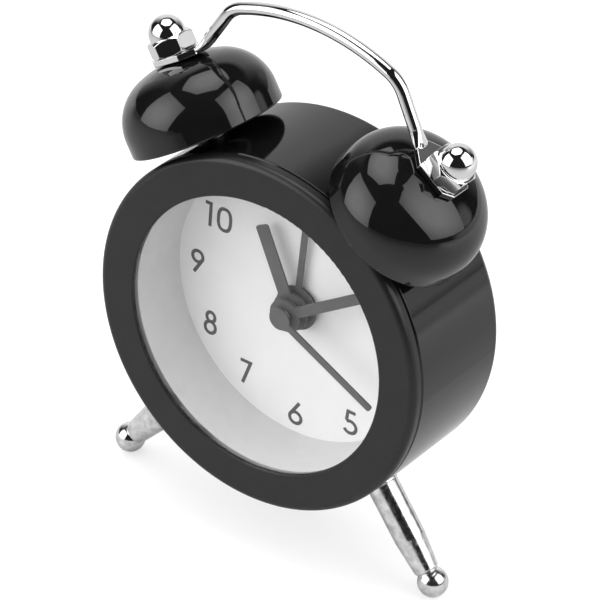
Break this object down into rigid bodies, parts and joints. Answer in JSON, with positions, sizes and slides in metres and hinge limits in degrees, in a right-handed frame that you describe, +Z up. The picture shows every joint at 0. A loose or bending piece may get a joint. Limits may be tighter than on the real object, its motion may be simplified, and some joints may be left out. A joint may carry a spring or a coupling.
{
  "type": "twin-bell alarm clock",
  "caption": "Small round quartz alarm clock with two domed bells, a wire carrying handle and three turned legs with ball ends.",
  "frame": {"origin": "middle of the clock's bounding box on the plane that the three legs stand on", "axes": "+Z up, -Y out of the dial towards the viewer, +X to the right seen from the front"},
  "size_m": [0.0696, 0.0328, 0.0991],
  "materials": {
    "satin_black_plastic": "satin black moulding",
    "satin_black": "satin black lacquer",
    "clear_lens": "clear, flat, polished",
    "white_ring": "satin white moulding",
    "dial_white": "matt white printed card",
    "movement_plastic": "dark grey moulding",
    "board": "green fibre board with black chip",
    "steel": "zinc-plated steel",
    "copper_winding": "lacquered copper wire",
    "sounder_case": "black moulding",
    "battery_wrap": "plain printed steel can",
    "back_plastic": "fine-textured black moulding",
    "gloss_black": "high-gloss black lacquer",
    "chrome": "bright polished chrome plate",
    "hand_grey": "satin dark grey paint",
    "gear_plastic": "natural acetal moulding"
  },
  "bodies": {
    "case": {"bezel": "satin_black_plastic", "case_drum": "satin_black", "lens": "clear_lens", "dial_ring": "white_ring", "dial": "dial_white", "movement_front": "movement_plastic", "movement_rear": "movement_plastic", "circuit_board": "board", "quartz_crystal": "steel", "stator": "steel", "coil": "copper_winding", "sounder": "sounder_case", "battery": "battery_wrap", "contact_positive": "steel", "contact_negative": "steel", "back_cover": "back_plastic", "cover_screws": "steel", "bell_left": "gloss_black", "bell_right": "gloss_black", "bell_studs": "steel", "bell_spacers": "steel", "acorn_nuts": "chrome", "bell_nuts": "steel", "handle": "chrome", "leg_left": "chrome", "leg_right": "chrome", "leg_rear": "chrome", "leg_washers": "chrome", "leg_nuts": "steel"},
    "second": {"second_hand": "hand_grey", "second_wheel": "gear_plastic"},
    "minute": {"minute_hand": "hand_grey", "minute_wheel": "gear_plastic"},
    "hour": {"hour_hand": "hand_grey", "hour_wheel": "gear_plastic"},
    "alarm": {"alarm_hand": "hand_grey", "alarm_wheel": "gear_plastic"},
    "motion": {"motion_wheel": "gear_plastic"},
    "time_setter": {"time_spindle": "gear_plastic", "time_knob": "back_plastic"},
    "alarm_setter": {"alarm_spindle": "gear_plastic", "alarm_knob": "back_plastic"},
    "drive": {"drive_wheel": "gear_plastic"},
    "rotor": {"rotor": "steel"},
    "switch": {"alarm_switch": "back_plastic"},
    "door": {"battery_door": "back_plastic"}
  },
  "joints": [
    {"name": "second_turn", "type": "hinge", "parent": "case", "child": "second", "pos_m": [0, 0.0071, 0.04303], "axis": [0, 1, 0], "continuous": true},
    {"name": "drive_turn", "type": "hinge", "parent": "case", "child": "drive", "pos_m": [0, 0.0071, 0.04755], "axis": [0, 1, 0], "continuous": true},
    {"name": "rotor_turn", "type": "hinge", "parent": "case", "child": "rotor", "pos_m": [0, 0.0071, 0.05196], "axis": [0, 1, 0], "continuous": true},
    {"name": "minute_turn", "type": "hinge", "parent": "case", "child": "minute", "pos_m": [0, 0.0071, 0.04303], "axis": [0, 1, 0], "continuous": true},
    {"name": "motion_turn", "type": "hinge", "parent": "case", "child": "motion", "pos_m": [-0.00445, 0.0071, 0.04368], "axis": [0, 1, 0], "continuous": true},
    {"name": "hour_turn", "type": "hinge", "parent": "case", "child": "hour", "pos_m": [0, 0.0071, 0.04303], "axis": [0, 1, 0], "continuous": true},
    {"name": "time_knob_turn", "type": "hinge", "parent": "case", "child": "time_setter", "pos_m": [-0.00779, 0.0071, 0.04753], "axis": [0, 1, 0], "continuous": true},
    {"name": "alarm_knob_turn", "type": "hinge", "parent": "case", "child": "alarm_setter", "pos_m": [0.00779, 0.0071, 0.04753], "axis": [0, 1, 0], "continuous": true},
    {"name": "alarm_turn", "type": "hinge", "parent": "case", "child": "alarm", "pos_m": [0, 0.0071, 0.04303], "axis": [0, 1, 0], "continuous": true},
    {"name": "switch_slide", "type": "slide", "parent": "case", "child": "switch", "axis": [1, 0, 0], "range_m": [0, 0.003]},
    {"name": "door_slide", "type": "slide", "parent": "case", "child": "door", "axis": [0, 0, -1], "range_m": [0, 0.006]}
  ],
  "couplings": [
    {"joint": "drive_turn", "follows": "second_turn", "ratio": -6},
    {"joint": "rotor_turn", "follows": "second_turn", "ratio": 30},
    {"joint": "motion_turn", "follows": "minute_turn", "ratio": -0.5},
    {"joint": "hour_turn", "follows": "minute_turn", "ratio": 0.083333},
    {"joint": "time_knob_turn", "follows": "minute_turn", "ratio": 0.71429},
    {"joint": "alarm_turn", "follows": "alarm_knob_turn", "ratio": -1.5}
  ]
}
